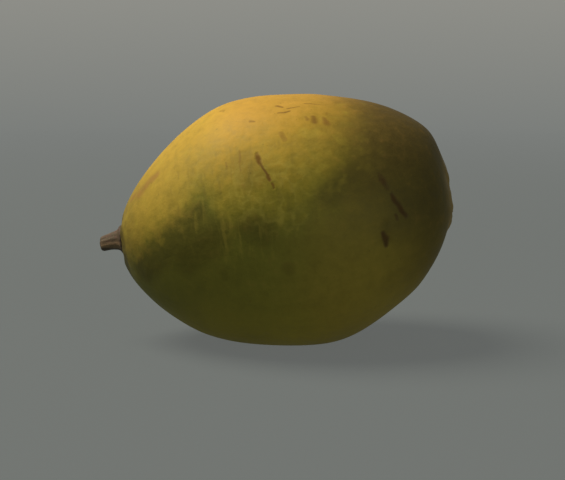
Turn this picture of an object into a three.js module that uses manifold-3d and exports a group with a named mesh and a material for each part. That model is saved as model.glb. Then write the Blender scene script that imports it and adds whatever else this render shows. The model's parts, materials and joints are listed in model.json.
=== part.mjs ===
// A pear lying on its side: the fruit, its short stalk, and the dried flower remains at its far end.
//
// Units are millimetres and +Z is up. The stalk points towards -X and the flower end, which gardeners
// call the eye, towards +X. The pear rests on a small flat spot at z = 0, and x = 0 and y = 0 are the
// middle of its length and of its width. Each piece is first drawn along the fruit's own axis, with the
// rim of the stalk's socket at x = 0 and the rim of the eye at x = BODY_LENGTH.
import * as THREE from "three";
import { mergeVertices } from "three/addons/utils/BufferGeometryUtils.js";
import Module from "manifold-3d";

// ---- Driving dimensions ----------------------------------------------------------------------------
const BODY_LENGTH = 90; // from the rim of the stalk's socket to the rim of the eye
const HALF_GIRTH = 34; // half the thickness of the fruit at its widest
const LEAN = THREE.MathUtils.degToRad(7.8); // the eye end lies this much higher than the stalk end
const FLAT_DEPTH = 1.15; // how far the underside is pressed in where it rests
const FLAT_BLEND = 0.3; // height over which the flat spot's edge rounds into the belly
const GAP = 0.3; // clearance between pieces that touch on the real fruit

const FRUIT_SIDES = 64; // facets round the fruit
const FRUIT_RINGS = 50; // facets from the socket to the eye

const STALK_LENGTH = 6.6; // how far the stalk stands out of its socket
const STALK_ARCH = 0.3; // how far its middle rises above the fruit's axis
const STALK_DROP = 0.25; // how far its tip hangs below the fruit's axis
const STALK_SIDES = 24;

const SEPALS = 5;
const SEPAL_LENGTH = 4.8;
const SEPAL_WIDTH = 2.7;
const SEPAL_THICKNESS = 0.5;
const SEPAL_RING = 2.35; // distance from the fruit's axis to each sepal's foot
const SEPAL_FOOT_ANGLE = THREE.MathUtils.degToRad(10); // how far each sepal leans out at its foot
const SEPAL_TIP_ANGLE = THREE.MathUtils.degToRad(78); // and at its tip

const STAMENS = 12;
const STAMEN_LENGTH = 2.4;
const STAMEN_RADIUS = 0.17;
const STAMEN_SPREAD = THREE.MathUtils.degToRad(16); // lean of the outermost stamens
const CUSHION_RADIUS = 1.3; // the disc that the stamens grow from
const CUSHION_HEIGHT = 0.55;

// ---- The fruit's outline ---------------------------------------------------------------------------
// Three outlines run from the floor of the stalk's socket, over its rim, along the body, and over the
// rim of the eye to its floor: one along the crown, one along the belly, and one along the flanks.
// Every point is [share of the body's length, share of the half girth].
const SOCKET = [[0.022, 0], [0.019, 0.075]];
const EYE = [[0.984, 0.155], [0.966, 0.11], [0.955, 0.06], [0.955, 0]];
const CROWN = [
  ...SOCKET, [0.004, 0.16], [0.034, 0.34], [0.165, 0.688], [0.35, 0.965], [0.58, 0.968],
  [0.817, 0.815], [0.945, 0.578], [0.98, 0.365], [0.993, 0.21], ...EYE,
];
const BELLY = [
  ...SOCKET, [-0.007, 0.16], [0.03, 0.405], [0.19, 0.805], [0.43, 1.005], [0.628, 1.012],
  [0.84, 0.73], [0.9, 0.56], [0.955, 0.34], [0.988, 0.2], ...EYE,
];
const FLANK = [
  ...SOCKET, [-0.002, 0.16], [0.032, 0.37], [0.178, 0.74], [0.39, 0.97], [0.605, 0.975],
  [0.825, 0.785], [0.93, 0.58], [0.975, 0.375], [0.991, 0.205], ...EYE,
];

// A smooth outline in millimetres: x runs along the fruit's axis and y is the distance from it.
function outline(points) {
  const scaled = points.map(([along, out]) => new THREE.Vector3(along * BODY_LENGTH, out * HALF_GIRTH, 0));
  return new THREE.CatmullRomCurve3(scaled, false, "centripetal");
}

// ---- Helpers ---------------------------------------------------------------------------------------
// The larger of two numbers, rounded off where they are within `blend` of each other.
function smoothMax(a, b, blend) {
  const near = Math.max(blend - Math.abs(a - b), 0) / blend;
  return Math.max(a, b) + (near * near * blend) / 4;
}

// Moves every vertex of a geometry by a function of its place and its number.
function reshape(geometry, move) {
  const places = geometry.attributes.position;
  const point = new THREE.Vector3();
  for (let i = 0; i < places.count; i++) {
    point.fromBufferAttribute(places, i);
    move(point, i);
    places.setXYZ(i, point.x, point.y, point.z);
  }
  return geometry;
}

// A turned body along the fruit's axis, from [x, radius] stations in order of falling x.
function turnedAlongAxis(stations, sides) {
  const profile = stations.map(([x, radius]) => new THREE.Vector2(radius, -x));
  return new THREE.LatheGeometry(profile, sides).rotateZ(Math.PI / 2);
}

function piece(name, geometry, material) {
  const mesh = new THREE.Mesh(geometry, material);
  mesh.name = name;
  return mesh;
}

// ---- Joining with manifold-3d ----------------------------------------------------------------------
const wasm = await Module();
wasm.setup();

// A solid, from a geometry that closes on itself.
function solid(geometry) {
  geometry.deleteAttribute("normal");
  geometry.deleteAttribute("uv");
  const closed = mergeVertices(geometry, 1e-4);
  const made = new wasm.Mesh({
    numProp: 3,
    vertProperties: closed.attributes.position.array,
    triVerts: new Uint32Array(closed.index.array),
  });
  return new wasm.Manifold(made);
}

// The geometry of a solid.
function surface(made) {
  const mesh = made.getMesh();
  const geometry = new THREE.BufferGeometry();
  geometry.setAttribute("position", new THREE.BufferAttribute(mesh.vertProperties, 3));
  geometry.setIndex(new THREE.BufferAttribute(mesh.triVerts, 1));
  geometry.computeVertexNormals();
  return geometry;
}

// ---- The fruit -------------------------------------------------------------------------------------
// A turned body whose outline passes smoothly from the crown through the flanks to the belly.
function fruitAlongAxis() {
  const flank = outline(FLANK);
  const crown = outline(CROWN);
  const belly = outline(BELLY);
  // Halfway between rings that are evenly spaced and rings that crowd into the socket and the eye.
  const stations = Array.from({ length: FRUIT_RINGS + 1 }, (_, ring) => {
    const share = ring / FRUIT_RINGS;
    return (share + flank.getUtoTmapping(share)) / 2;
  });
  const outlines = stations.map((t) => [flank.getPoint(t), crown.getPoint(t), belly.getPoint(t)]);
  const profile = outlines.map(([side]) => new THREE.Vector2(side.y, side.x));
  return reshape(new THREE.LatheGeometry(profile, FRUIT_SIDES), (point, i) => {
    const [side, top, bottom] = outlines[i % stations.length];
    const angle = (Math.floor(i / stations.length) / FRUIT_SIDES) * 2 * Math.PI; // 0 at the crown
    const rise = Math.cos(angle);
    const target = rise > 0 ? top : bottom;
    const { x, y: out } = side.clone().lerp(target, rise * rise);
    point.set(x, -out * Math.sin(angle), out * rise);
  });
}

const skin = new THREE.MeshStandardMaterial({ color: 0xa3953a, roughness: 0.45, metalness: 0 });
const fruit = fruitAlongAxis().rotateY(-LEAN);
fruit.computeBoundingBox();
const rise = -fruit.boundingBox.min.z - FLAT_DEPTH; // lifts the fruit so that its flat spot is at z = 0
fruit.translate(0, 0, rise);
reshape(fruit, (point) => {
  point.z = smoothMax(point.z, 0, FLAT_BLEND);
});

// ---- The stalk -------------------------------------------------------------------------------------
// A short stub with a blunt end, flared into a disc where it grows out of its socket.
function stalkGeometry() {
  const floor = SOCKET[0][0] * BODY_LENGTH - GAP;
  const stations = [
    [floor, 0], [floor - 0.15, 2], [0.75, 3.4], [0.1, 4], [-0.6, 3.7], [-1.1, 3], [-2, 2.55],
    [-3.2, 2.3], [-4.6, 2.12], [-5.6, 1.95], [-6.2, 1.6], [-6.5, 0.95], [-STALK_LENGTH, 0],
  ];
  return reshape(turnedAlongAxis(stations, STALK_SIDES), (point) => {
    const share = Math.max(-point.x, 0) / STALK_LENGTH;
    point.z += STALK_ARCH * Math.sin(Math.PI * share) - STALK_DROP * share * share;
  });
}

const bark = new THREE.MeshStandardMaterial({ color: 0x7a5642, roughness: 0.8, metalness: 0 });

// ---- The sepals ------------------------------------------------------------------------------------
// A thin pointed lobe. Its midline is an arc that leans out more and more from its foot to its tip.
function sepalGeometry() {
  const turn = SEPAL_TIP_ANGLE - SEPAL_FOOT_ANGLE;
  return reshape(new THREE.SphereGeometry(0.5, 12, 12), (point) => {
    const share = point.y + 0.5; // 0 at the foot, 1 at the tip
    const width = -point.x * SEPAL_WIDTH * (1.1 - 0.45 * share);
    const thickness = point.z * SEPAL_THICKNESS;
    const lean = SEPAL_FOOT_ANGLE + turn * share;
    const height = (SEPAL_LENGTH * (Math.sin(lean) - Math.sin(SEPAL_FOOT_ANGLE))) / turn;
    const reach = (SEPAL_LENGTH * (Math.cos(SEPAL_FOOT_ANGLE) - Math.cos(lean))) / turn;
    point.set(height - thickness * Math.sin(lean), width, SEPAL_RING + reach + thickness * Math.cos(lean));
  });
}

const husk = new THREE.MeshStandardMaterial({ color: 0x4a3a28, roughness: 0.9, metalness: 0 });
const eyeFloor = EYE.at(-1)[0] * BODY_LENGTH + GAP;

// ---- The stamens -----------------------------------------------------------------------------------
// A tuft of dried stamens on a small round cushion. They stand in a sunflower spiral and lean outwards.
function stamenGeometry() {
  const dome = [[CUSHION_HEIGHT, 0], [CUSHION_HEIGHT * 0.7, CUSHION_RADIUS * 0.8], [0, CUSHION_RADIUS], [0, 0]];
  let tuft = solid(turnedAlongAxis(dome, STALK_SIDES));
  for (let i = 0; i < STAMENS; i++) {
    const share = Math.sqrt((i + 0.5) / STAMENS); // 0 in the middle, 1 at the edge
    const stamen = new THREE.CylinderGeometry(STAMEN_RADIUS * 0.7, STAMEN_RADIUS, STAMEN_LENGTH, 6);
    stamen.translate(0, STAMEN_LENGTH / 2, 0);
    stamen.rotateZ(-Math.PI / 2);
    stamen.rotateY(-STAMEN_SPREAD * share);
    stamen.translate(CUSHION_HEIGHT * 0.3, 0, CUSHION_RADIUS * 0.62 * share);
    stamen.rotateX(i * THREE.MathUtils.degToRad(137.5));
    tuft = tuft.add(solid(stamen));
  }
  return surface(tuft);
}

// ---- Assembly --------------------------------------------------------------------------------------
const onAxis = new THREE.Group(); // holds the pieces that are drawn along the fruit's own axis
onAxis.rotation.y = -LEAN;
onAxis.position.z = rise;
onAxis.add(piece("stem", stalkGeometry(), bark));
for (let i = 0; i < SEPALS; i++) {
  const sepal = piece(`sepal_${i + 1}`, sepalGeometry(), husk.clone());
  sepal.rotation.x = (i / SEPALS) * 2 * Math.PI;
  sepal.position.x = eyeFloor;
  onAxis.add(sepal);
}
const stamens = piece("stamens", stamenGeometry(), husk.clone());
stamens.position.x = eyeFloor;
onAxis.add(stamens);

const pear = new THREE.Group();
pear.add(piece("fruit", fruit, skin), onAxis);
const extent = new THREE.Box3().setFromObject(pear, true);
pear.position.x = -(extent.min.x + extent.max.x) / 2;

export default pear;
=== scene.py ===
# %% [markdown]
# # A ripe pear on its side
#
# A pear looks simple: an egg with a stalk. What makes one look real is the way its outline is never
# quite round, the waxy skin whose colour drifts from green to gold, the scars of its summer on the
# tree, and the two small woody places where it met the branch and where the flower once was.
#
# The solid pear already exists as a plain model at its real size. This script dresses it: it reads
# that model as a fixed frame, makes finer pieces that stand in the same places, and gives every
# surface a finish that is made from patterns alone.

# %% The frame and its box
import json
import math
import random

import bmesh
import bpy
from mathutils import Matrix, Vector, noise
from mathutils.bvhtree import BVHTree

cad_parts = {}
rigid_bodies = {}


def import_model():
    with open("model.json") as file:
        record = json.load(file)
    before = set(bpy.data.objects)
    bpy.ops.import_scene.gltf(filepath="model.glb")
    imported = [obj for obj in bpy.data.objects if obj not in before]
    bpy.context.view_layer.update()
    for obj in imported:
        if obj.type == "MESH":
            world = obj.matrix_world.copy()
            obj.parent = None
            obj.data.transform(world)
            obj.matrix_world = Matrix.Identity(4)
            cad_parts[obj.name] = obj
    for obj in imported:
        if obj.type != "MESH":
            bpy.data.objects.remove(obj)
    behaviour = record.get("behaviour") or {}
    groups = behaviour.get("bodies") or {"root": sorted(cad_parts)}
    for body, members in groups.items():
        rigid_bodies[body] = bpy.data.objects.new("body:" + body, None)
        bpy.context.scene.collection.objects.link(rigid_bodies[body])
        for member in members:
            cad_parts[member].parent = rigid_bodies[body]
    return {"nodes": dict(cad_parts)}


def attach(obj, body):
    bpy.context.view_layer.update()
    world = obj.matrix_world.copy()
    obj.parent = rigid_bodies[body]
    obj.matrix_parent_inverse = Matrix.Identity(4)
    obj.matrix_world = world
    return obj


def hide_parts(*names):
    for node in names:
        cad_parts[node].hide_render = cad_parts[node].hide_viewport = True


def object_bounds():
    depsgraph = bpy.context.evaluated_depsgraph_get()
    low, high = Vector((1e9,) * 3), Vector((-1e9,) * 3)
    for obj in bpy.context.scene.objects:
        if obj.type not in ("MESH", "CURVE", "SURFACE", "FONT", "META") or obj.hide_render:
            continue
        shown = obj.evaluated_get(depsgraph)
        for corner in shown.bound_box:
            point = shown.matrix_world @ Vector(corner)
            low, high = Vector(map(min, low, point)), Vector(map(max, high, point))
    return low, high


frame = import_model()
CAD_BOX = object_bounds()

MM = 0.001  # the scene is in metres, and lengths are written in millimetres unless a comment says metres
print("frame:", sorted(frame["nodes"]), [tuple(round(c / MM, 1) for c in corner) for corner in CAD_BOX])

# %% [markdown]
# ## Three helpers
#
# A colour is easiest to choose as the hex value that a paint program shows, but light adds up in
# linear numbers, so one function turns the first into the second. A finish is a graph of nodes, so
# one more function adds a node, sets it up and links what feeds it, and a last one starts a finish.

# %% Helpers for colours and nodes
def linear(hex_colour):
    """An sRGB colour such as "c8a546" as linear red, green, blue and an alpha of 1."""
    shares = [int(hex_colour[i:i + 2], 16) / 255 for i in (0, 2, 4)]
    return [s / 12.92 if s <= 0.04045 else ((s + 0.055) / 1.055) ** 2.4 for s in shares] + [1.0]


def add(tree, kind, inputs=None, stops=(), **settings):
    """Adds a node to a tree, sets it up, and fills or links each input. A ramp also takes its stops, as
    (place, colour) pairs."""
    node = tree.nodes.new(kind)
    for name, value in settings.items():
        setattr(node, name, value)
    for i, (place, hex_colour) in enumerate(stops):
        stop = node.color_ramp.elements[i] if i < 2 else node.color_ramp.elements.new(1)
        stop.position, stop.color = place, linear(hex_colour)
    for name, value in (inputs or {}).items():
        if isinstance(value, bpy.types.NodeSocket):
            tree.links.new(value, node.inputs[name])
        else:
            node.inputs[name].default_value = value
    return node


def bare_finish(name):
    """A new material and its tree of nodes, which is empty."""
    material = bpy.data.materials.new(name)
    material.use_nodes = True
    material.node_tree.nodes.clear()
    return material, material.node_tree


# %% [markdown]
# ## The stage
#
# The pear lies on a plain grey surface that runs back without an edge into an even grey distance. A
# real studio curves a roll of paper up behind the fruit. Here the floor fades out a little way off,
# and the world behind it carries on in the same grey, so the stage looks the same from every side.

# %% Camera
SCENE = bpy.context.scene
LENS_MM, SENSOR_MM = 85, 36
FRAME_WIDTH = 153.5 * MM  # how much the picture takes in at the pear, from side to side
ELEVATION = math.radians(8)
AIM_OFFSET = Vector((1.8, 0, -6.0)) * MM  # the pear sits a little left of the middle and above it
CLIP_NEAR, CLIP_FAR = 0.01, 50  # in metres

low, high = CAD_BOX
aim = (low + high) / 2 + AIM_OFFSET
back = Vector((0, -math.cos(ELEVATION), math.sin(ELEVATION)))
camera = bpy.data.objects.new("camera", bpy.data.cameras.new("camera"))
camera.data.lens, camera.data.sensor_width = LENS_MM, SENSOR_MM
camera.data.clip_start, camera.data.clip_end = CLIP_NEAR, CLIP_FAR
camera.location = aim + back * FRAME_WIDTH * LENS_MM / SENSOR_MM
camera.rotation_euler = (-back).to_track_quat("-Z", "Y").to_euler()
SCENE.collection.objects.link(camera)
SCENE.camera = camera
print("camera", round(FRAME_WIDTH * LENS_MM / SENSOR_MM / MM), "mm from the pear")

# %% Floor
FLOOR_RADIUS, FLOOR_SIDES = 3, 96  # the radius is in metres
FADE_FROM, FADE_TO = 0.05, 1.1  # where the floor starts to fade and where it has gone, in metres
SHEER = 0.6  # the paper is a little sheer from the start, which keeps the pear's shadow soft and light
FLOOR_COLOUR = "5e676a"

mesh = bpy.data.meshes.new("floor")
shape = bmesh.new()
bmesh.ops.create_circle(shape, cap_ends=True, radius=FLOOR_RADIUS, segments=FLOOR_SIDES)
shape.to_mesh(mesh)
shape.free()
floor = bpy.data.objects.new("floor", mesh)
SCENE.collection.objects.link(floor)

# Matt grey studio paper: light scatters off it evenly, and it thins out to nothing with the distance.
paper, tree = bare_finish("matt_grey_paper")
place = add(tree, "ShaderNodeTexCoord").outputs["Object"]
away = add(tree, "ShaderNodeVectorMath", {0: place}, operation="LENGTH").outputs["Value"]
gone = add(tree, "ShaderNodeMapRange", {"Value": away, "From Min": FADE_FROM, "From Max": FADE_TO,
                                        "To Min": SHEER}, interpolation_type="SMOOTHSTEP")
matt = add(tree, "ShaderNodeBsdfDiffuse", {"Color": linear(FLOOR_COLOUR)})
clear = add(tree, "ShaderNodeBsdfTransparent")
mixed = add(tree, "ShaderNodeMixShader", {0: gone.outputs[0], 1: matt.outputs[0], 2: clear.outputs[0]})
add(tree, "ShaderNodeOutputMaterial", {"Surface": mixed.outputs[0]})
mesh.materials.append(paper)

# %% World
# The light that reaches the pear from all round is a dim, even, slightly cool grey. What the camera
# sees, straight or in a reflection, is the studio's grey distance.
AMBIENT_COLOUR, AMBIENT_STRENGTH = "d2d6da", 0.185
DISTANCE_COLOUR, ZENITH_COLOUR = "7b7e7b", "8e8e88"
HORIZON = (-0.06, 0.04)  # the first grey turns into the second between these heights of the line of sight

world = bpy.data.worlds.new("studio")
SCENE.world = world
world.use_nodes = True
tree = world.node_tree
tree.nodes.clear()
height = add(tree, "ShaderNodeSeparateXYZ", {0: add(tree, "ShaderNodeTexCoord").outputs["Generated"]})
climb = add(tree, "ShaderNodeMapRange", {"Value": height.outputs["Z"], "From Min": HORIZON[0],
                                         "From Max": HORIZON[1]})
distance = add(tree, "ShaderNodeMix", {"Factor": climb.outputs[0], 6: linear(DISTANCE_COLOUR),
                                       7: linear(ZENITH_COLOUR)}, data_type="RGBA")
seen = add(tree, "ShaderNodeBackground", {"Color": distance.outputs[2], "Strength": 1})
ambient = add(tree, "ShaderNodeBackground", {"Color": linear(AMBIENT_COLOUR), "Strength": AMBIENT_STRENGTH})
path = add(tree, "ShaderNodeLightPath").outputs
looked = path["Is Camera Ray"]
for ray in ("Is Glossy Ray", "Is Transmission Ray"):
    looked = add(tree, "ShaderNodeMath", {0: looked, 1: path[ray]}, operation="MAXIMUM").outputs[0]
shown = add(tree, "ShaderNodeMixShader", {0: looked, 1: ambient.outputs[0], 2: seen.outputs[0]})
add(tree, "ShaderNodeOutputWorld", {"Surface": shown.outputs[0]})

# %% Lamps
# One large warm softbox stands above the stalk end and slightly behind, and a weak one fills the front.
LAMPS = {  # name: direction to the lamp, its distance and width in metres, watts, colour
    "key_softbox": ((-0.5, 0.1, 0.86), 1.6, 1.1, 34.5, "fff1dc"),
    "fill_softbox": ((0.62, -0.77, 0.14), 1.1, 0.6, 1.5, "fffaf0"),
}
for name, (towards, away, width, watts, colour) in LAMPS.items():
    lamp = bpy.data.lights.new(name, "AREA")
    lamp.shape, lamp.size, lamp.energy = "DISK", width, watts
    lamp.color = linear(colour)[:3]
    stand = bpy.data.objects.new(name, lamp)
    direction = Vector(towards).normalized()
    stand.location = (low + high) / 2 + direction * away
    stand.rotation_euler = direction.to_track_quat("Z", "Y").to_euler()
    SCENE.collection.objects.link(stand)
SCENE.view_settings.view_transform = "Standard"
print("lamps:", ", ".join(LAMPS))

# %% [markdown]
# ## Where things are on the fruit
#
# The fruit leans a little, so it is easier to talk about places on it along its own axis: so many
# millimetres from the rim of the stalk's socket, and so many degrees round from the crown, the line
# that faces up. The front faces the camera at 90 degrees, and the belly is at 180.

# %% The fruit's own axis
LEAN = math.radians(7.8)  # the eye end lies this much higher than the stalk end
SOCKET_DEPTH = 1.68  # from the rim down to the stalk's foot
ALONG = Vector((math.cos(LEAN), 0, math.sin(LEAN)))
CROWN = Vector((-math.sin(LEAN), 0, math.cos(LEAN)))
FRONT = Vector((0, -1, 0))

stalk_foot = max((v.co for v in frame["nodes"]["stem"].data.vertices), key=ALONG.dot)
RIM = stalk_foot - ALONG * SOCKET_DEPTH * MM  # the middle of the socket's rim


def on_fruit(point):
    """Where a point is on the fruit: millimetres along it and from its axis, and radians round it."""
    offset = (point - RIM) / MM
    up, out = offset.dot(CROWN), offset.dot(FRONT)
    return offset.dot(ALONG), math.hypot(up, out), math.atan2(out, up)


def from_fruit(along, radius, around):
    """The point that is so many millimetres along and from the axis, and so many radians round it."""
    return RIM + (ALONG * along + (CROWN * math.cos(around) + FRONT * math.sin(around)) * radius) * MM


def smoothstep(low, high, value):
    """A smooth step from 0 at the low value to 1 at the high one. The low one may be the larger."""
    share = min(max((value - low) / (high - low), 0), 1)
    return share * share * (3 - 2 * share)


print("rim of the socket at", [round(c / MM, 1) for c in RIM])

# %% [markdown]
# ## The fruit's body
#
# The body could be turned afresh, but the plain model already holds its exact outline, socket, eye and
# resting spot. So a copy of it is welded, its triangles are paired into quads, and two rounds of
# subdivision turn its facets into a smooth skin that is fine enough to sculpt.

# %% Copy, weld and subdivide the body
WELD = 0.002 * MM  # vertices nearer than this are one
PAIRING = math.radians(60)  # how far two triangles may bend or skew and still make a quad
BODY_ROUNDS = 2


def shown_mesh(source):
    """A new mesh that holds what a source object looks like with its modifiers on."""
    bpy.context.view_layer.update()
    graph = bpy.context.evaluated_depsgraph_get()
    return bpy.data.meshes.new_from_object(source.evaluated_get(graph))


def new_piece(name, mesh):
    """Puts a finished mesh in the scene as a smooth-shaded object at the origin."""
    mesh.name = name
    mesh.polygons.foreach_set("use_smooth", [True] * len(mesh.polygons))
    mesh.materials.clear()
    piece = bpy.data.objects.new(name, mesh)
    SCENE.collection.objects.link(piece)
    return piece


def subdivided(shape, rounds):
    """The mesh of a bmesh after so many rounds of smooth subdivision. The bmesh is used up."""
    rough = bpy.data.meshes.new("rough")
    shape.to_mesh(rough)
    shape.free()
    holder = bpy.data.objects.new("rough", rough)
    SCENE.collection.objects.link(holder)
    modifier = holder.modifiers.new("smooth", "SUBSURF")
    modifier.levels = modifier.render_levels = rounds
    mesh = shown_mesh(holder)
    bpy.data.objects.remove(holder)
    bpy.data.meshes.remove(rough)
    return mesh


shape = bmesh.new()
shape.from_mesh(frame["nodes"]["fruit"].data)
bmesh.ops.remove_doubles(shape, verts=shape.verts, dist=WELD)
bmesh.ops.join_triangles(shape, faces=shape.faces, angle_face_threshold=PAIRING,
                         angle_shape_threshold=PAIRING)
body_mesh = subdivided(shape, BODY_ROUNDS)
print("body:", len(body_mesh.polygons), "faces")

# %% [markdown]
# ## Marks on the skin
#
# A season on the tree leaves marks. Where a twig rubbed, a thin corky scar runs across the skin and ends
# in a darker knot. Where a leaf lay or an insect bit there is a small brown fleck. Each mark here is a
# short stroke from one place on the fruit to another, with a width at each end, so the same list can
# press a groove into the mesh and later stain the skin.

# %% The list of marks
# kind, (millimetres along, degrees round) at each end, half width in mm at each end, strength
MARKS = [
    ("rub", (39.9, 52.4), (40.0, 54.4), 0.5, 0.72, 0.8),
    ("rub", (40.0, 54.4), (40.4, 57.4), 0.72, 0.56, 1.0),
    ("rub", (40.2, 56.4), (42.3, 65.4), 0.42, 0.36, 1.0),
    ("rub", (41.9, 63.6), (42.3, 65.8), 0.52, 0.5, 1.0),
    ("rub", (42.8, 67.6), (43.0, 69.4), 0.42, 0.34, 0.6),
    ("scar", (69.6, 66.2), (70.2, 69.4), 0.4, 0.7, 0.3),
    ("scar", (70.2, 70.0), (71.1, 74.8), 0.85, 0.7, 0.5),
    ("scar", (72.0, 78.2), (73.2, 83.6), 0.62, 0.78, 1.0),
    ("scar", (73.2, 83.6), (75.0, 91.0), 0.78, 0.6, 1.0),
    ("scar", (72.4, 89.0), (72.6, 91.4), 0.5, 0.4, 0.4),
    ("scar", (68.5, 97.0), (69.0, 100.0), 0.6, 0.85, 0.7),
    ("scar", (69.0, 100.0), (68.9, 103.4), 0.8, 0.6, 0.85),
    ("stain", (69.6, 92.5), (69.2, 100.0), 1.5, 1.9, 0.5),
    ("stain", (43.8, 104.5), (44.0, 106.0), 1.6, 1.4, 0.3),
    ("stain", (27.7, 105.5), (27.9, 107.0), 1.3, 1.1, 0.2),
    ("stain", (36.2, 55.0), (37.6, 63.0), 3.0, 3.4, 0.1),
    ("fleck", (46.4, 29.6), (48.0, 29.2), 0.3, 0.46, 0.8),
    ("fleck", (48.0, 29.2), (49.4, 28.2), 0.46, 0.36, 1.0),
    ("fleck", (46.5, 22.5), (47.6, 24.0), 0.6, 0.4, 0.8),
    ("fleck", (49.0, 25.8), (52.2, 24.0), 0.4, 0.24, 0.7),
    ("fleck", (53.6, 20.6), (55.4, 21.2), 0.26, 0.36, 0.7),
    ("fleck", (56.0, 21.2), (58.4, 21.8), 0.36, 0.24, 0.8),
    ("fleck", (55.2, 33.0), (55.5, 37.0), 0.75, 0.95, 0.95),
    ("fleck", (57.9, 34.0), (58.5, 38.2), 0.7, 0.95, 0.55),
    ("fleck", (58.8, 29.5), (59.0, 31.0), 0.5, 0.4, 0.4),
    ("fleck", (53.2, 33.4), (53.6, 35.4), 0.5, 0.6, 0.35),
    ("fleck", (39.2, 33.0), (40.2, 33.6), 0.5, 0.35, 0.5),
    ("fleck", (35.5, 49.0), (35.4, 54.5), 0.34, 0.44, 0.7),
    ("fleck", (35.4, 54.5), (35.2, 59.5), 0.36, 0.24, 0.3),
    ("fleck", (31.9, 53.5), (32.0, 56.5), 0.32, 0.34, 0.5),
    ("fleck", (46.6, 43.5), (47.2, 47.0), 0.6, 0.7, 0.2),
    ("fleck", (31.6, 14.0), (32.4, 15.5), 0.6, 0.5, 0.35),
    ("fleck", (32.9, 120.0), (33.1, 120.5), 0.35, 0.3, 0.55),
    ("fleck", (51.3, 113.0), (51.5, 113.5), 0.3, 0.25, 0.4),
    ("fleck", (37.2, 107.0), (37.4, 107.5), 0.28, 0.25, 0.35),
    ("russet", (7.2, 36.8), (12.4, 35.8), 1.7, 1.2, 1.0),
    ("russet", (4.6, 31.0), (5.6, 32.0), 1.0, 0.9, 0.5),
    # The green strokes on the front are partly the skin's real green and partly painted shade: dark green
    # patches in the turning zone.
    ("green", (5.5, 114.0), (12.5, 92.0), 3.5, 4.5, 0.9),
    ("green", (12.5, 92.0), (19.5, 80.0), 4.5, 4.2, 1.0),
    ("green", (19.5, 80.0), (23.5, 74.5), 3.8, 2.4, 0.85),
    ("green", (18.0, 94.0), (26.5, 86.0), 5.0, 4.5, 0.5),
    ("green", (36.0, 85.0), (39.0, 87.0), 3.4, 3.4, 0.4),
    ("green", (56.0, 76.0), (64.0, 70.0), 3.0, 4.5, 0.8),
]
# The far side has its own few marks, so that the pear is as lived-in from behind.
MARKS += [
    ("scar", (30.0, -62.0), (33.5, -70.0), 0.55, 0.3, 0.9),
    ("scar", (33.5, -70.0), (35.0, -75.0), 0.3, 0.14, 0.6),
    ("scar", (61.0, -98.0), (64.0, -93.0), 0.3, 0.65, 0.85),
    ("stain", (52.0, -118.0), (53.5, -116.0), 1.6, 1.3, 0.35),
    ("fleck", (47.0, -35.0), (49.5, -37.0), 0.3, 0.45, 0.6),
    ("fleck", (20.0, -50.0), (20.5, -52.0), 0.5, 0.4, 0.5),
    ("fleck", (71.0, -47.0), (71.8, -49.0), 0.5, 0.4, 0.5),
    ("russet", (9.0, -60.0), (13.0, -66.0), 0.8, 1.0, 0.6),
    ("green", (22.0, -88.0), (34.0, -78.0), 4.5, 3.5, 0.7),
    ("green", (60.0, -80.0), (66.0, -88.0), 4.0, 5.0, 0.7),
]

tree_of_faces = BVHTree.FromPolygons([v.co for v in body_mesh.vertices],
                                     [p.vertices for p in body_mesh.polygons])


def on_skin(place):
    """The point of the skin that is so many millimetres along the fruit and so many degrees round it."""
    along, around = place[0], math.radians(place[1])
    start = from_fruit(along, 0, around)
    return tree_of_faces.ray_cast(start, from_fruit(along, 1, around) - start)[0]


STROKES = [(kind, on_skin(a), on_skin(b), wide_a, wide_b, strength)
           for kind, a, b, wide_a, wide_b, strength in MARKS]
print("marks:", len(STROKES))

# %% [markdown]
# ## Sculpting the body
#
# Nothing that grew is quite even. Two slow waves of noise press shallow flats into the body, low ribs
# gather round the eye and the socket as in a drawn-up purse, and each scar is a groove between two
# slightly raised lips. The waves only press inwards, so that the fruit stays inside its true size, and
# they die out at the resting spot, which stays flat.

# %% Refine the skin round the scars, then move the vertices
SCARS = ("scar", "rub")  # the marks that are felt as well as seen
SMALL_MARKS = ("scar", "rub", "fleck", "russet")
REACH = (2.0 * MM, 1.3 * MM, 0.9 * MM)  # how far from a mark the mesh is made finer, round by round
WAVES = [  # length, shift, how deep the wave presses in mm, and the height of its crests that don't press
    (26 * MM, 3.1, 0.5, 0.35),
    (11 * MM, 0, 0.16, 0.4),
]
# The waves start at this height over the resting spot and are full at the next, and the same goes for the
# radius from the axis, so that they keep clear of the socket and the eye. All are in mm.
CLEAR_OF_FLOOR, CLEAR_OF_AXIS = (0.5, 7), (5.5, 11)
# The folds of the eye and of the socket: where along the fruit they start and are full, the ring that they
# fill, their depth in mm, and their ribs as (height, how many go round, turn in radians).
FOLDS = [
    ((72, 88), (5, 8, 8, 16), 0.35, [(0.5, 5, 0.6), (0.3, 11, 1.3)]),
    ((9, 1), (4.6, 6.5, 8, 14), 0.3, [(0.5, 7, 2), (0.3, 3, 0)]),
]
WOBBLE, WOBBLE_LENGTH = 0.26, 1.8  # how far the marks wander, and over what length, in mm
WOBBLE_SEED = 5  # vector noise differs from run to run unless it is given a seed
GROOVE, LIP = 0.07, 0.03  # a scar's depth and the height of its lips, in mm
LEAST_GROOVE = 0.45  # the half width of the finest groove that the mesh can hold, in mm
# Counted in half widths from a scar's middle: where its groove ends, where its lip climbs and falls, and
# where nothing of it is left.
GROOVE_END, LIP_CLIMB, LIP_FALL, SCAR_END = 1.4, (0.8, 1.5), (2.9, 1.6), 3.0

noise.seed_set(WOBBLE_SEED)


def stroke_distance(point, stroke):
    """How far a point is from a stroke's middle line, and the stroke's half width there, in metres."""
    _, a, b, wide_a, wide_b, _ = stroke
    share = min(max((point - a).dot(b - a) / (b - a).length_squared, 0), 1)
    return (point - a.lerp(b, share)).length, (wide_a + (wide_b - wide_a) * share) * MM


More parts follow.
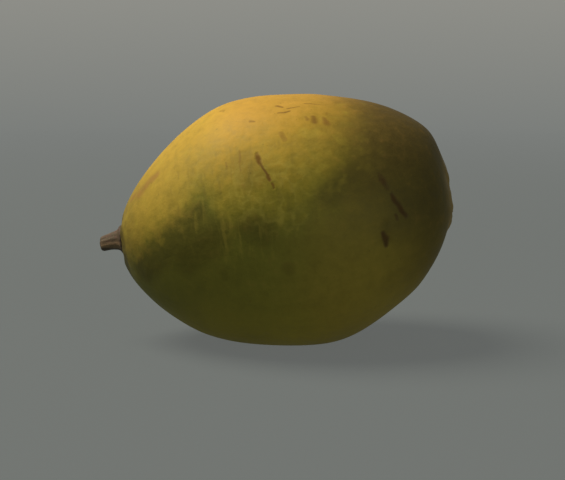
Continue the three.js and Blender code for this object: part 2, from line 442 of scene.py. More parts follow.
def wobbled(point):
    """A point slid along the skin a little by noise, which makes a straight stroke wander and swell."""
    along, _, around = on_fruit(point)
    outward = point - from_fruit(along, 0, around)
    push = noise.noise_vector(point / (WOBBLE_LENGTH * MM)) * WOBBLE * MM
    return point + push - push.project(outward)


def unevenness(point):
    """How far the skin stands out from its plain shape, in mm. Only the crests of folds are above zero."""
    along, radius, around = on_fruit(point)
    past_rim = radius + 2 * smoothstep(4, 0, along)  # the socket is narrower than the eye
    free = smoothstep(*CLEAR_OF_FLOOR, point.z / MM) * smoothstep(*CLEAR_OF_AXIS, past_rim)
    out = sum(deep * min(noise.noise(point / length + Vector((shift, 0, 0))) - crest, 0)
              for length, shift, deep, crest in WAVES) * free
    for (start, full), (inner, near, far, outer), deep, ribs in FOLDS:
        here = smoothstep(start, full, along) * smoothstep(inner, near, radius)
        here *= smoothstep(outer, far, radius)
        fold = sum((high * math.cos(count * around + turn) for high, count, turn in ribs), 0.5)
        out -= deep * here * fold
    return out


def scar_relief(point):
    """The groove and lips of the scars at a point, in millimetres."""
    point = wobbled(point)
    nearest, strength = SCAR_END, 0
    for stroke in scars:
        away, half_width = stroke_distance(point, stroke)
        share = away / max(half_width, LEAST_GROOVE * MM)
        if share < nearest:
            nearest, strength = share, stroke[5]
    groove = -GROOVE * smoothstep(GROOVE_END, 0, nearest)
    lip = LIP * smoothstep(*LIP_CLIMB, nearest) * smoothstep(*LIP_FALL, nearest)
    return (groove + lip) * strength


scars = [stroke for stroke in STROKES if stroke[0] in SCARS]
shape = bmesh.new()
shape.from_mesh(body_mesh)
bpy.data.meshes.remove(body_mesh)
small = [stroke for stroke in STROKES if stroke[0] in SMALL_MARKS]
for reach in REACH:
    chosen = small if reach > REACH[-1] else scars
    near = {v for v in shape.verts if any(stroke_distance(v.co, s)[0] < reach for s in chosen)}
    edges = [e for e in shape.edges if e.verts[0] in near and e.verts[1] in near]
    bmesh.ops.subdivide_edges(shape, edges=edges, cuts=1, use_grid_fill=True)
shape.normal_update()
moves = [(v, v.normal * (unevenness(v.co) + scar_relief(v.co)) * MM) for v in shape.verts]
for vertex, move in moves:
    vertex.co += move
    vertex.co.z = max(vertex.co.z, 0)
bmesh.ops.triangulate(shape, faces=[f for f in shape.faces if len(f.verts) > 4])
bmesh.ops.recalc_face_normals(shape, faces=shape.faces)
body_mesh = bpy.data.meshes.new("body")
shape.to_mesh(body_mesh)
shape.free()
body = new_piece("body", body_mesh)
print("sculpted body:", len(body_mesh.vertices), "vertices,", len(body_mesh.polygons), "faces")

# %% [markdown]
# ## Painting into the mesh
#
# Some colour follows no pattern: the side that saw the sun turned gold and the shaded side stayed green,
# with a wandering edge between them, and every mark has its own place. Such things are stored in the
# mesh as attributes, one number per vertex, and the finish reads them by name. Here "ripeness" is how
# many millimetres a point lies on the sunny side of that edge, and each kind of mark stores how deep
# inside its nearest stroke a point lies, so that the finish can still fray the edges with noise.

# %% The edge between the golden and the green side
# (millimetres along, degrees down from the crown), on the front and on the far side
FRONT_EDGE = [
    (0, 124), (11, 87), (21, 78), (32, 86), (47, 84), (56, 76), (64, 67), (71, 54), (79, 39), (92, 22),
]
BACK_EDGE = [(0, 84), (10, 66), (24, 78), (38, 68), (54, 74), (70, 52), (84, 36), (92, 24)]
# Tongues of gold that run down the front, or of green that climb it when the degrees are below zero:
# millimetres along, degrees, half width in mm
TONGUES = [(25.8, -19, 3.6), (28.6, 9, 1.7), (37, -3, 2.2), (58, 4, 3)]
TONGUE_REACH, TONGUE_FULL = 15, 3  # how far from the edge a tongue is felt, and where it is full, in mm
TAKE_OVER = 14  # behind the crown and the belly, the far side's edge takes over within so many mm


def eased(table, value):
    """Reads a table of (place, height) pairs at a place, with a smooth step from each pair to the next."""
    for (near, low), (far, high) in zip(table, table[1:]):
        if value < far:
            return low + (high - low) * smoothstep(near, far, value)
    return table[-1][1]


def ripeness(point):
    """Millimetres from the edge between gold and green, above zero on the golden side."""
    along, radius, around = on_fruit(point)
    far = smoothstep(0, -TAKE_OVER, radius * math.sin(around))
    edge = eased(FRONT_EDGE, along) * (1 - far) + eased(BACK_EDGE, along) * far
    plain = (math.radians(edge) - abs(around)) * radius
    if around < 0:
        return plain
    tongues = sum(degrees * math.exp(-((along - middle) / width) ** 2)
                  for middle, degrees, width in TONGUES)
    return plain + math.radians(tongues) * radius * smoothstep(TONGUE_REACH, TONGUE_FULL, abs(plain))


def mark_depth(point, kind):
    """1 in the middle of a strong mark of a kind, 0 at its edge, and down to -1 outside it."""
    best = -1.0
    for stroke in STROKES:
        if stroke[0] == kind:
            away, half_width = stroke_distance(point, stroke)
            inside = 1 - away / half_width
            best = max(best, inside * stroke[5] if inside > 0 else inside)
    return best


points = [v.co for v in body_mesh.vertices]
PAINT = {"ripeness": [ripeness(p) for p in points]}
points = [wobbled(p) for p in points]
for kind in sorted({stroke[0] for stroke in STROKES}):
    PAINT[kind] = [mark_depth(p, kind) for p in points]
for name, values in PAINT.items():
    body_mesh.attributes.new(name, "FLOAT", "POINT").data.foreach_set("value", values)
print("painted:", ", ".join(f"{name} {min(v):.1f} to {max(v):.1f}" for name, v in PAINT.items()))

# %% [markdown]
# ## The skin
#
# A pear's skin is a thin wax over a layer of cells whose green fades as the fruit ripens. It scatters
# light softly: the gloss is broad and satin, not a sharp window. A ramp over "ripeness", whose edge is
# frayed by noise, gives gold, yellow and olive; the pale yellow of the belly is partly painted light
# against the floor's shade. Broad shades darken the two ends: a real browner russet, and painted shade
# on the eye end, which faces away from the lamp, and in the hollow round the stalk. Dapples, streaks
# and pale veins wander through the turning zone, where dark green patches are partly painted shade.
# Freckles, which are the skin's pores, are scattered all over, and the marks lie on top.

# %% Tools for every finish on the fruit
# A pattern is measured in millimetres on the fruit's own axis, wherever the pear lies. A Mapping node of
# the texture kind takes an object's coordinates back to that axis with these settings.
FRUIT_AXIS = {"Location": RIM, "Rotation": (0, -LEAN, 0), "Scale": (MM, MM, MM)}


def place_on_fruit(tree):
    """Where the point that gets its colour lies, in millimetres on the fruit's own axis."""
    place = add(tree, "ShaderNodeTexCoord").outputs["Object"]
    return add(tree, "ShaderNodeMapping", {"Vector": place, **FRUIT_AXIS}, vector_type="TEXTURE").outputs[0]


def summed(tree, total, *terms):
    """A value with some of each other value added to it. A term is the other value and how much of it."""
    for value, share in terms:
        total = add(tree, "ShaderNodeMath", {0: value, 1: share, 2: total},
                    operation="MULTIPLY_ADD").outputs[0]
    return total


def noise_waves(tree, place, table):
    """Waves of noise round zero, from about -0.5 to 0.5. The table gives each wave the size of its lumps in
    mm, its detail, its roughness, and how many times longer its lumps are along the fruit."""
    waves = {}
    for name, (size, detail, rough, drawn) in table.items():
        spot = add(tree, "ShaderNodeVectorMath", {0: place, 1: (1 / drawn, 1, 1)}, operation="MULTIPLY")
        wave = add(tree, "ShaderNodeTexNoise", {"Vector": spot.outputs[0], "Scale": 1 / size,
                                                "Detail": detail, "Roughness": rough})
        waves[name] = add(tree, "ShaderNodeMath", {0: wave.outputs[0], 1: 0.5},
                          operation="SUBTRACT").outputs[0]
    return waves


def layered(tree, colour, layers):
    """Lays shades over a colour, one after another. A layer is its strength, its shade and its masks, and
    a mask is a socket, the value where the mask is 0 and the value where it is 1."""
    for strength, shade, *masks in layers:
        factor = strength
        for value, none, full in masks:
            step = add(tree, "ShaderNodeMapRange", {"Value": value, "From Min": none, "From Max": full},
                       interpolation_type="SMOOTHSTEP").outputs[0]
            factor = add(tree, "ShaderNodeMath", {0: step, 1: factor}, operation="MULTIPLY").outputs[0]
        colour = add(tree, "ShaderNodeMix", {"Factor": factor, 6: colour, 7: linear(shade)},
                     data_type="RGBA").outputs[2]
    return colour


def surfaced(tree, height, depth, inputs):
    """Ends a finish: a bump over a height, so many millimetres deep, and a surface with these inputs."""
    bump = add(tree, "ShaderNodeBump", {"Height": height, "Distance": depth * MM, "Strength": 1.0})
    surface = add(tree, "ShaderNodeBsdfPrincipled", {**inputs, "Normal": bump.outputs[0]})
    add(tree, "ShaderNodeOutputMaterial", {"Surface": surface.outputs[0]})


def dress(piece, finish, node):
    """Gives a piece its finish, hides the node of the plain model that it stands in for, and ties it to the
    frame.
    """
    piece.data.materials.append(finish)
    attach(piece, "root")
    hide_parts(node)


# %% Waxed pear skin: its patterns
SKIN_WAVES = {
    "drift": (22, 2, 0.5, 1), "blotch": (8, 3, 0.5, 1), "dapple": (3.6, 1.5, 0.5, 1),
    "mottle": (2.6, 4, 0.6, 1), "vein": (3.8, 1.5, 0.5, 1), "grain": (0.7, 3, 0.6, 1),
}
STREAK_LENGTH, STREAK_WIDTH = 6.5, 1.3  # the streaks that run round the fruit, in mm
FRECKLE = 1.9  # distance between freckles, in mm; the real ones are finer and would not show
SPARSE, LARGEST = 0.35, 0.17  # share of places without a freckle; the largest one's radius in distances
FRAY = {"blotch": 7, "drift": 6, "mottle": 10}  # how far each wave moves the edge between gold and green
MARK_FRAY = {"scar": 1.2, "rub": 1.2, "stain": 0.8, "fleck": 1.4, "russet": 2.2, "green": 0.8}

skin, tree = bare_finish("waxed_pear_skin")
place = place_on_fruit(tree)
parts = add(tree, "ShaderNodeSeparateXYZ", {0: place}).outputs
along, up = parts["X"], parts["Z"]
across = add(tree, "ShaderNodeVectorMath", {0: place, 1: (0, 1, 1)}, operation="MULTIPLY").outputs[0]
radius = add(tree, "ShaderNodeVectorMath", {0: across}, operation="LENGTH").outputs["Value"]

waves = noise_waves(tree, place, SKIN_WAVES)
frayed = add(tree, "ShaderNodeAttribute", attribute_name="ripeness").outputs["Fac"]
frayed = summed(tree, frayed, *((waves[name], reach) for name, reach in FRAY.items()))
marks = {}
for name, fray in MARK_FRAY.items():
    depth = add(tree, "ShaderNodeAttribute", attribute_name=name).outputs["Fac"]
    marks[name] = summed(tree, depth, (waves["mottle"], fray))

# Veins lie where their slow wave crosses zero. Streaks are noise drawn out across the fruit's axis.
vein = add(tree, "ShaderNodeMath", {0: waves["vein"]}, operation="ABSOLUTE").outputs[0]
drawn = (1 / STREAK_WIDTH, 1 / STREAK_LENGTH, 1 / STREAK_LENGTH)
drawn = add(tree, "ShaderNodeVectorMath", {0: place, 1: drawn}, operation="MULTIPLY").outputs[0]
streak = add(tree, "ShaderNodeTexNoise", {"Vector": drawn, "Scale": 1, "Detail": 2.5}).outputs[0]

# Freckles are pores: small round spots of many sizes. A pore is above zero inside its spot.
pores = add(tree, "ShaderNodeTexVoronoi", {"Vector": place, "Scale": 1 / FRECKLE, "Randomness": 1.0})
sizes = add(tree, "ShaderNodeSeparateColor", {0: pores.outputs["Color"]}).outputs[0]
limit = add(tree, "ShaderNodeMapRange", {"Value": sizes, "From Min": SPARSE, "To Max": LARGEST}).outputs[0]
pore = add(tree, "ShaderNodeMath", {0: limit, 1: pores.outputs["Distance"]},
           operation="SUBTRACT").outputs[0]
print("patterns:", ", ".join([*waves, "streak", "pore", *marks]))

# %% Waxed pear skin: its colours
# The palest yellow, far on the green side, lies on the belly: partly the belly's own paler skin, and partly
# painted light that makes up for the shade of the floor.
RIPENING = [  # millimetres from the edge, above zero on the golden side, and the colour there
    (-56, "b8a83c"), (-38, "a59835"), (-22, "857f2d"), (-8, "7b792b"), (-2, "767629"), (2, "827d29"),
    (8, "8f8429"), (16, "a48d2c"), (24, "b89830"), (34, "c6a239"),
]
LOW, HIGH = RIPENING[0][0], RIPENING[-1][0]
share = add(tree, "ShaderNodeMapRange", {"Value": frayed, "From Min": LOW, "From Max": HIGH})
colour = add(tree, "ShaderNodeValToRGB", {0: share.outputs[0]},
             stops=[((mm - LOW) / (HIGH - LOW), shade) for mm, shade in RIPENING]).outputs[0]

eye_end = summed(tree, along, (waves["drift"], 16))
turning = [(frayed, -16, -2), (frayed, 30, 12)]
colour = layered(tree, colour, [  # strength, shade and masks, from the lowest layer to the highest
    (0.6, "bf943d", (frayed, 20, 36), (along, 26, 38), (along, 80, 62)),
    # Dark green strokes: partly real green skin, partly painted shade.
    (0.75, "56521d", (marks["green"], -0.6, 0.5)),
    (0.3, "948a2f", (waves["blotch"], 0.0, 0.35)),
    (0.35, "6d6d29", (waves["blotch"], 0.0, -0.35), (frayed, 20, 4)),
    (0.62, "b3983a", (along, 32, 14), (frayed, -1, 8)),
    (0.6, "6a622b", (along, 12, 0), (frayed, -14, 6)),
    # Painted shade, with some of the skin's own darker ring: dark round the rim of the stalk's socket.
    (0.65, "443e20", (along, 2.0, 0.7)),
    # The eye end turns browner and darker: partly a real russet, and partly painted shade on the end that
    # faces away from the key lamp.
    (0.7, "8f7f2f", (eye_end, 36, 60), (frayed, 6, -8)),
    (0.62, "4a441b", (eye_end, 54, 74), (up, -14, 4)),
    (0.75, "5e461f", (eye_end, 38, 85), (up, 5, 24)),
    (0.7, "433b17", (eye_end, 60, 82), (up, -30, -14)),
    (0.26, "b0a03a", (waves["dapple"], 0.02, 0.24), (frayed, -6, 4), (frayed, 32, 20), (along, 76, 60)),
    (0.3, "7f7529", (waves["dapple"], -0.02, -0.24), (frayed, -6, 4), (frayed, 26, 12), (along, 76, 60)),
    (0.3, "786c2a", (streak, 0.48, 0.3), (along, 10, 20), (along, 64, 40), *turning),
    (0.3, "ab9b3f", (streak, 0.5, 0.7), (along, 16, 24), (along, 48, 34), *turning),
    (0.28, "b3a748", (vein, 0.09, 0), (frayed, -6, 2), (frayed, 24, 12), (waves["blotch"], -0.12, 0.08),
     (along, 26, 36), (along, 60, 46)),
    (0.35, "6c6123", (pore, -0.02, 0.07)),
    # Painted shade, with some of the skin's own brown: dark on the floor of the stalk's socket.
    (0.8, "4f4323", (radius, 5.6, 4.4), (along, 4, 2)),
    (0.75, "8c7638", (radius, 16, 8), (along, 81, 85)),
    (0.6, "6a5527", (radius, 7, 4.5), (along, 82, 85)),
    (0.6, "514816", (marks["stain"], -0.5, 0.9)),
    (0.7, "8f6c37", (marks["russet"], -1.0, 0.8)),
    (0.8, "76571d", (marks["fleck"], -0.5, 0.8)),
    (0.88, "6b4c1a", (marks["rub"], -0.5, 0.6)),
    (0.88, "4d3a1c", (marks["scar"], -0.6, 0.6)),
])
shaded = summed(tree, 1.0, (waves["mottle"], 0.5), (waves["grain"], 0.12))
colour = add(tree, "ShaderNodeVectorMath", {0: colour, "Scale": shaded}, operation="SCALE").outputs[0]

# %% Waxed pear skin: its gloss and its feel
# Fruit wax has an index of refraction of about 1.45, and its gloss is low and broad. Scars are duller.
SKIN_IOR, SKIN_ROUGHNESS, SKIN_GLOSS = 1.45, 0.58, 0.17

corky = add(tree, "ShaderNodeMath", {0: marks["scar"], 1: marks["rub"]}, operation="MAXIMUM").outputs[0]
corky = add(tree, "ShaderNodeMath", {0: corky, 1: 0.0}, operation="MAXIMUM").outputs[0]
worn = summed(tree, SKIN_ROUGHNESS, (corky, 0.3), (waves["mottle"], 0.25))
height = summed(tree, waves["mottle"], (waves["grain"], 0.25), (pore, 0.3))
surfaced(tree, height, 0.12, {"Base Color": colour, "Roughness": worn, "IOR": SKIN_IOR,
                              "Specular IOR Level": SKIN_GLOSS})
dress(body, skin, "fruit")
print("skin:", len(tree.nodes), "nodes")

# %% [markdown]
# ## The stalk
#
# This pear's stalk broke off short: a stub of woody twig that flares into a lumpy foot where it grows
# out of the flesh. A turned shape gives it its taper, and then its vertices are pushed about: long
# ridges run down it, the foot bulges unevenly, and the whole stub droops towards its tip.

# %% Turn a profile, then shape it
STALK_PROFILE = [  # millimetres along the fruit's axis, below zero outside the socket, and radius
    (1.45, 0), (1.4, 1.9), (0.8, 3.3), (0.2, 3.9), (-0.3, 3.9), (-0.65, 3.6), (-0.95, 3.05), (-1.35, 2.72),
    (-2, 2.52), (-2.8, 2.36), (-3.6, 2.22), (-4.4, 2.13), (-5.2, 2.06), (-5.75, 1.95), (-6.1, 1.72),
    (-6.32, 1.3), (-6.4, 0.7), (-6.4, 0),
]
STALK_SIDES = 40
DROOP_FROM, DROOP_TO = -0.4, -6.6  # the stretch over which the stalk bends down, in mm along the axis
LIFT, DROOP = 0.3, 0.5  # how far it rises out of the socket, and how far its tip sinks from there, in mm
RIDGE, KNOBBLE = 0.055, 0.25  # how far its ridges and the lumps of its foot stand out, in mm
RIDGES = [(1, 6, 0.7, 0), (0.7, 11, 2, 0.35)]  # height, how many, turn, and added turn for each mm along
BROAD, NARROWER = 1.08, 0.45  # its width below, against a round stalk, and how much less it is on top
BREAK = 0.14  # how uneven its broken tip is, in mm


def turned(profile, sides):
    """A bmesh turned round the X axis from (along, radius) points, still in millimetres."""
    shape = bmesh.new()
    points = [shape.verts.new((along, 0, radius)) for along, radius in profile]
    edges = [shape.edges.new(pair) for pair in zip(points, points[1:])]
    bmesh.ops.spin(shape, geom=points + edges, cent=(0, 0, 0), axis=(1, 0, 0), angle=2 * math.pi,
                   steps=sides, use_merge=True)
    bmesh.ops.remove_doubles(shape, verts=shape.verts, dist=0.001)
    bmesh.ops.recalc_face_normals(shape, faces=shape.faces)
    return shape


def onto_fruit(shape):
    """Moves a bmesh that is drawn in millimetres along the X axis onto the fruit's own axis, in metres."""
    for vertex in shape.verts:
        along, across, up = vertex.co
        vertex.co = RIM + (ALONG * along + CROWN * up - FRONT * across) * MM


shape = turned(STALK_PROFILE, STALK_SIDES)
bmesh.ops.subdivide_edges(shape, edges=shape.edges, cuts=1, use_grid_fill=True)
for vertex in shape.verts:
    along, across, up = vertex.co
    radius, around = math.hypot(across, up), math.atan2(across, up)
    bent = smoothstep(DROOP_FROM, DROOP_TO, along)
    foot = smoothstep(-1.6, -0.3, along) * smoothstep(1.2, 0.2, along)  # 1 on the flared foot
    circle = Vector((math.cos(around), math.sin(around), 0))
    ridges = sum(high * math.cos(count * around + turn + along * more)
                 for high, count, turn, more in RIDGES)
    ridges += 1.1 * noise.noise(circle * 3.2 + Vector((0, 0, along * 0.35)))
    lumps = noise.noise(circle * 1.7 + Vector((5, 0, 0)))
    lumps += 0.5 * noise.noise(circle * 4 + Vector((0, 9, 0)))
    swell = RIDGE * ridges * smoothstep(0.4, -0.9, along) * smoothstep(0, 1.4, radius)
    swell += KNOBBLE * lumps * foot
    grow = 1 + swell / max(radius, 0.3)
    width = BROAD - NARROWER * smoothstep(-0.9, 0.9, math.cos(around))
    across *= 1 + (width - 1) * smoothstep(-0.4, -1.6, along)
    droop = LIFT * smoothstep(1.2, -0.5, along) - DROOP * bent * bent
    tip = BREAK * noise.noise(Vector((up, across, 3)) * 1.3) * smoothstep(-5.4, -6.4, along)
    vertex.co = Vector((along + tip, across * grow, up * grow + droop))
onto_fruit(shape)
stalk = new_piece("stalk", subdivided(shape, 1))
print("stalk:", len(stalk.data.polygons), "faces")

# %% Twig bark
# The bark of a thin pear twig: a pinkish brown, darker on top and paler and more olive below, with pale
# pores drawn out across it and fine cracks along it. The darker top and the paler underside are painted
# light and shade that even out the lamps on the stub. It is dry and matt. Its broken tip is darker, and
# the dark band along its underside and the dark crease round its foot are painted shade.
BARK_ROUGHNESS = 0.75
BARK_WAVES = {"patches": (1.9, 2, 0.6, 1), "fibres": (0.55, 3, 0.6, 5), "fine": (0.35, 4, 0.6, 1)}

bark, tree = bare_finish("pear_twig_bark")
place = place_on_fruit(tree)
parts = add(tree, "ShaderNodeSeparateXYZ", {0: place}).outputs
along, up = parts["X"], parts["Z"]
under = summed(tree, up, (along, 0.2))  # its height, measured from a line that sinks towards the tip
waves = noise_waves(tree, place, BARK_WAVES)
tone = summed(tree, waves["patches"], (waves["fibres"], 0.35), (waves["fine"], 0.25))
share = add(tree, "ShaderNodeMapRange", {"Value": tone, "From Min": -0.3, "From Max": 0.3}).outputs[0]
colour = add(tree, "ShaderNodeValToRGB", {0: share}, stops=[
    (0.1, "57462f"), (0.4, "6c573b"), (0.62, "7b6446"), (0.9, "8d7454"),
]).outputs[0]
flat = add(tree, "ShaderNodeVectorMath", {0: place, 1: (1.5, 0.8, 0.8)}, operation="MULTIPLY").outputs[0]
pores = add(tree, "ShaderNodeTexVoronoi", {"Vector": flat, "Scale": 1.0}).outputs["Distance"]
colour = layered(tree, colour, [
    # Painted light and shade: paler below and darker on top, which evens out the key lamp's light on the
    # stub.
    (0.6, "94805a", (up, 0.3, -1.4)),
    (0.85, "4a3f2a", (up, -0.4, 1.2)),
    (0.6, "593a2e", (waves["patches"], 0.0, 0.12), (up, -1.2, 0)),
    # Painted shade: a dark band along the underside.
    (0.8, "2a241b", (under, -1.7, -2.3)),
    (0.3, "8f7558", (pores, 0.26, 0.16)),
    (0.45, "3d2c20", (waves["fibres"], -0.1, -0.22)),
    # Painted shade: darker and then near black in the crease round the foot.
    (0.5, "544032", (along, -1.4, -0.5)),
    (0.75, "2e2119", (along, -0.8, 0.2)),
    (0.8, "2b1f18", (along, -5.9, -6.4)),
])
height = summed(tree, waves["fibres"], (waves["fine"], 0.35))
surfaced(tree, height, 0.1, {"Base Color": colour, "Roughness": BARK_ROUGHNESS})
dress(stalk, bark, "stem")
print("bark:", len(tree.nodes), "nodes")

# %% [markdown]
# ## The eye
#
# The flower sat at this end. Its five green sepals dried into brown papery lobes that lean outwards and
# curl, and inside them a tuft of dead stamens is left on a small cushion. Each sepal starts as a flat
# grid that gets a thickness, is pinched to a point, cupped, and bent along an arc. No two dried alike,
# so seeded random numbers vary their length, lean, twist and curl.

# %% Five sepals
SEPALS = 5
SEPAL_FOOT = 86.35  # how far along the fruit the sepals start
SEPAL_RING = 2.35  # and how far from its axis
SEPAL_LENGTH, SEPAL_WIDTH, SEPAL_THICKNESS = 4.3, 2.9, 0.24
CRINKLE, VEIN, CUP = 0.34, 0.05, 0.5  # how far its crinkles, its veins and its rolled edges go, in mm
LENGTHS, TWISTS, SWAYS = (0.84, 1.0), (-0.45, 0.45), (-0.6, 0.6)  # what the dice draw from
FOOT_LEANS, TIP_LEANS = (12, 24), (74, 94)  # in degrees away from the fruit's axis
RIBS = 9  # radians of the ribs' wave from the middle of a lobe to its edge
dice = random.Random(7)


def sepal_mesh(around):
    """One dried lobe at that many radians round the eye, with where each vertex lies on it."""
    length = SEPAL_LENGTH * dice.uniform(*LENGTHS)
    foot_lean, tip_lean = math.radians(dice.uniform(*FOOT_LEANS)), math.radians(dice.uniform(*TIP_LEANS))
    twist, sway = dice.uniform(*TWISTS), dice.uniform(*SWAYS)
    seed = Vector((dice.uniform(0, 50), 0, 0))
    turn = tip_lean - foot_lean
    shape = bmesh.new()
    bmesh.ops.create_grid(shape, x_segments=8, y_segments=16, size=0.5)
    bmesh.ops.solidify(shape, geom=shape.faces, thickness=SEPAL_THICKNESS)
    sides, shares = shape.verts.layers.float.new("side"), shape.verts.layers.float.new("share")
    for vertex in shape.verts:
        side, share, layer = vertex.co.x * 2, vertex.co.y + 0.5, vertex.co.z
        outline = smoothstep(-0.55, 0.22, share) * math.sqrt(max(1 - share ** 2.2, 0.012))
        across = side * SEPAL_WIDTH / 2 * outline + sway * share * share
        crinkle = CRINKLE * noise.noise(Vector((side * 1.6, share * 4.5, 0)) + seed)
        crinkle *= smoothstep(0, 0.5, share)
        vein = VEIN * math.cos(side * RIBS) * outline
        cup = CUP * side * side * outline * (1 - 0.4 * share)
        rise = layer * (1 - 0.5 * share) - cup + crinkle + vein + twist * side * share
        lean = foot_lean + turn * share
        height = length * (math.sin(lean) - math.sin(foot_lean)) / turn
        reach = length * (math.cos(foot_lean) - math.cos(lean)) / turn
        along = SEPAL_FOOT + height - rise * math.sin(lean)
        out = SEPAL_RING + reach + rise * math.cos(lean)
        vertex[sides], vertex[shares] = side, share
        vertex.co = (along, across * math.cos(around) - out * math.sin(around),
                     out * math.cos(around) + across * math.sin(around))
    onto_fruit(shape)
    bmesh.ops.recalc_face_normals(shape, faces=shape.faces)
    if shape.calc_volume(signed=True) < 0:  # a thin curled shell can fool the test for outwards
        bmesh.ops.reverse_faces(shape, faces=shape.faces)
    return subdivided(shape, 1)


sepals = [new_piece(f"dried_sepal_{i + 1}", sepal_mesh(2 * math.pi * i / SEPALS)) for i in range(SEPALS)]
print("sepals:", len(sepals), "with", len(sepals[0].data.polygons), "faces each")

# %% The tuft of stamens
FILAMENTS, STYLES = 18, 5
CUSHION = [  # the dried disc between the sepals, as millimetres along the fruit and radius
    (86.12, 0), (86.14, 1.2), (86.2, 1.95), (86.34, 2.15), (86.52, 2.0), (86.6, 1.6), (86.56, 1.2),
    (86.62, 0.9), (86.74, 0.6), (86.8, 0.3), (86.82, 0),
]
CUSHION_SIDES, CUSHION_RIM = 40, (86.3, 86.5)  # its top starts to be uneven between these, in mm
RIB_COUNT, RIB_HEIGHT, LUMP_HEIGHT = 10, 0.06, 0.08  # the heights are in mm
THREAD = [  # a thread with a knob near its end, as shares of its length and of its radius
    (0, 0), (0, 1), (0.3, 0.85), (0.6, 0.7), (0.78, 0.72), (0.84, 1.7), (0.93, 1.9), (1, 1.0), (1.02, 0),
]
THREAD_SIDES, THREAD_RADIUS = 6, 0.13
THREAD_FOOT, STYLE_RING = 86.45, 0.28  # where the threads start along the fruit, and how far out the styles
GOLDEN_ANGLE = math.radians(137.5)  # the turn from each filament to the next, which spreads them evenly

straight = bpy.data.meshes.new("thread")
thread = turned(THREAD, THREAD_SIDES)
thread.to_mesh(straight)
thread.free()
shape = turned(CUSHION, CUSHION_SIDES)
bmesh.ops.subdivide_edges(shape, edges=shape.edges, cuts=1, use_grid_fill=True)
for vertex in shape.verts:
    radius, around = math.hypot(vertex.co.y, vertex.co.z), math.atan2(vertex.co.y, vertex.co.z)
    upper = smoothstep(*CUSHION_RIM, vertex.co.x)
    rib = RIB_HEIGHT * math.cos(RIB_COUNT * around) * smoothstep(0.7, 1.5, radius)
    vertex.co.x += upper * (rib + LUMP_HEIGHT * noise.noise(vertex.co * 2.2))
for i in range(FILAMENTS + STYLES):
    if i < FILAMENTS:
        around, ring = i * GOLDEN_ANGLE + dice.uniform(-0.2, 0.2), dice.uniform(1.25, 1.8)
        length, lean, bend = dice.uniform(1.2, 2.0), dice.uniform(-0.3, 0.35), dice.uniform(-0.9, 0.8)
    else:
        around, ring = i * 2 * math.pi / STYLES, STYLE_RING
        length, lean, bend = dice.uniform(1.4, 1.8), dice.uniform(0.05, 0.25), dice.uniform(0, 0.7)
    sway = dice.uniform(-0.5, 0.5)
    root = Vector((THREAD_FOOT, 0, ring))
    turn = Matrix.Rotation(around, 3, "X")
    old = len(shape.verts)
    shape.from_mesh(straight)
    shape.verts.ensure_lookup_table()
    for vertex in shape.verts[old:]:
        step, side, out = vertex.co.x, vertex.co.y * THREAD_RADIUS, vertex.co.z * THREAD_RADIUS
        angle = lean + bend * step
        half = lean + bend * step / 2
        middle = Vector((math.cos(half), 0, math.sin(half))) * length * step
        flat = middle + Vector((-math.sin(angle), 0, math.cos(angle))) * out
        vertex.co = turn @ (root + flat + Vector((0, side + sway * step * step, 0)))
bpy.data.meshes.remove(straight)
onto_fruit(shape)
bmesh.ops.recalc_face_normals(shape, faces=shape.faces)
tuft_mesh = bpy.data.meshes.new("stamen_tuft")
shape.to_mesh(tuft_mesh)
shape.free()
tuft = new_piece("stamen_tuft", tuft_mesh)
print("stamens:", FILAMENTS + STYLES, "threads,", len(tuft_mesh.polygons), "faces")

# %% Dried sepal
# A dead sepal is like thin brown paper: darker ribs along it, a bleached fringe, and no shine at all.
# Its "side" attribute runs from -1 to 1 across the lobe, and "share" from 0 at its foot to 1 at its tip.
PAPER_ROUGHNESS = 0.85
PATCH, FIBRE = 1.1, 0.22  # sizes of the stains and of the paper's fibres, in mm

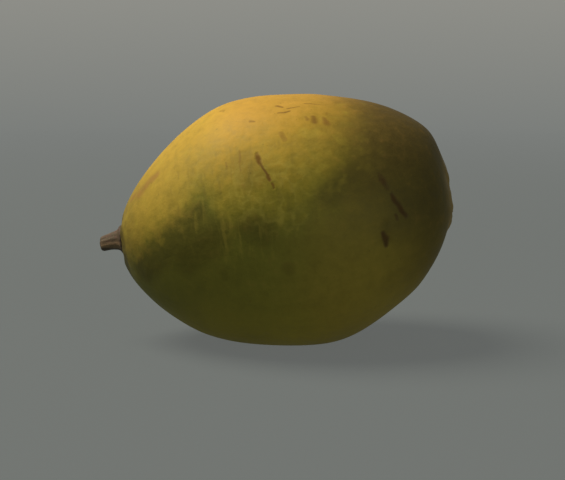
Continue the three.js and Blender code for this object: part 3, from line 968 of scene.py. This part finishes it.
papery, tree = bare_finish("dried_sepal_paper")
place = place_on_fruit(tree)
side = add(tree, "ShaderNodeAttribute", attribute_name="side").outputs["Fac"]
share = add(tree, "ShaderNodeAttribute", attribute_name="share").outputs["Fac"]
patches = add(tree, "ShaderNodeTexNoise", {"Vector": place, "Scale": 1 / PATCH, "Detail": 3}).outputs[0]
fibres = add(tree, "ShaderNodeTexNoise", {"Vector": place, "Scale": 1 / FIBRE, "Detail": 3}).outputs[0]
tone = summed(tree, share, (patches, 0.9))
colour = add(tree, "ShaderNodeValToRGB", {0: tone}, stops=[(0.45, "8a7a4c"), (0.75, "775c3b")]).outputs[0]
edge = add(tree, "ShaderNodeMath", {0: side}, operation="ABSOLUTE").outputs[0]
ribs = add(tree, "ShaderNodeMath", {0: side, 1: RIBS}, operation="MULTIPLY").outputs[0]
ribs = add(tree, "ShaderNodeMath", {0: ribs}, operation="COSINE").outputs[0]
colour = layered(tree, colour, [
    (0.8, "543c28", (tone, 0.9, 1.4)),
    (0.6, "ac9069", (edge, 0.7, 1.0)),
    (0.5, "3c2b1d", (ribs, 0.3, 1.0)),
    (0.4, "9d855f", (fibres, 0.55, 0.75)),
])
surfaced(tree, fibres, 0.1, {"Base Color": colour, "Roughness": PAPER_ROUGHNESS})
for i, sepal in enumerate(sepals):
    dress(sepal, papery, f"sepal_{i + 1}")
print("paper:", len(tree.nodes), "nodes")

# %% Withered stamens
# The dead threads are dark and brittle, and the felt of the cushion between them is a dusty olive brown.
THREAD_ROUGHNESS = 0.82
FELT_FRAY = 0.8  # how far the felt moves the colours along the threads, in mm
CUSHION_TOP, THREAD_TOP = 86.8, 89.4  # where the colours start and end along the fruit, in mm

withered, tree = bare_finish("withered_stamen_threads")
place = place_on_fruit(tree)
along = add(tree, "ShaderNodeSeparateXYZ", {0: place}).outputs["X"]
felt = add(tree, "ShaderNodeTexNoise", {"Vector": place, "Scale": 1 / FIBRE, "Detail": 3}).outputs[0]
height = summed(tree, along, (felt, FELT_FRAY))
share = add(tree, "ShaderNodeMapRange", {"Value": height, "From Min": CUSHION_TOP,
                                         "From Max": THREAD_TOP}).outputs[0]
colour = add(tree, "ShaderNodeValToRGB", {0: share}, stops=[
    (0.0, "85734a"), (0.2, "6f5a3a"), (0.45, "4c3827"), (0.8, "3b2a1f"), (1.0, "705537"),
]).outputs[0]
surfaced(tree, felt, 0.08, {"Base Color": colour, "Roughness": THREAD_ROUGHNESS})
dress(tuft, withered, "stamens")
print("stamens:", len(tree.nodes), "nodes")
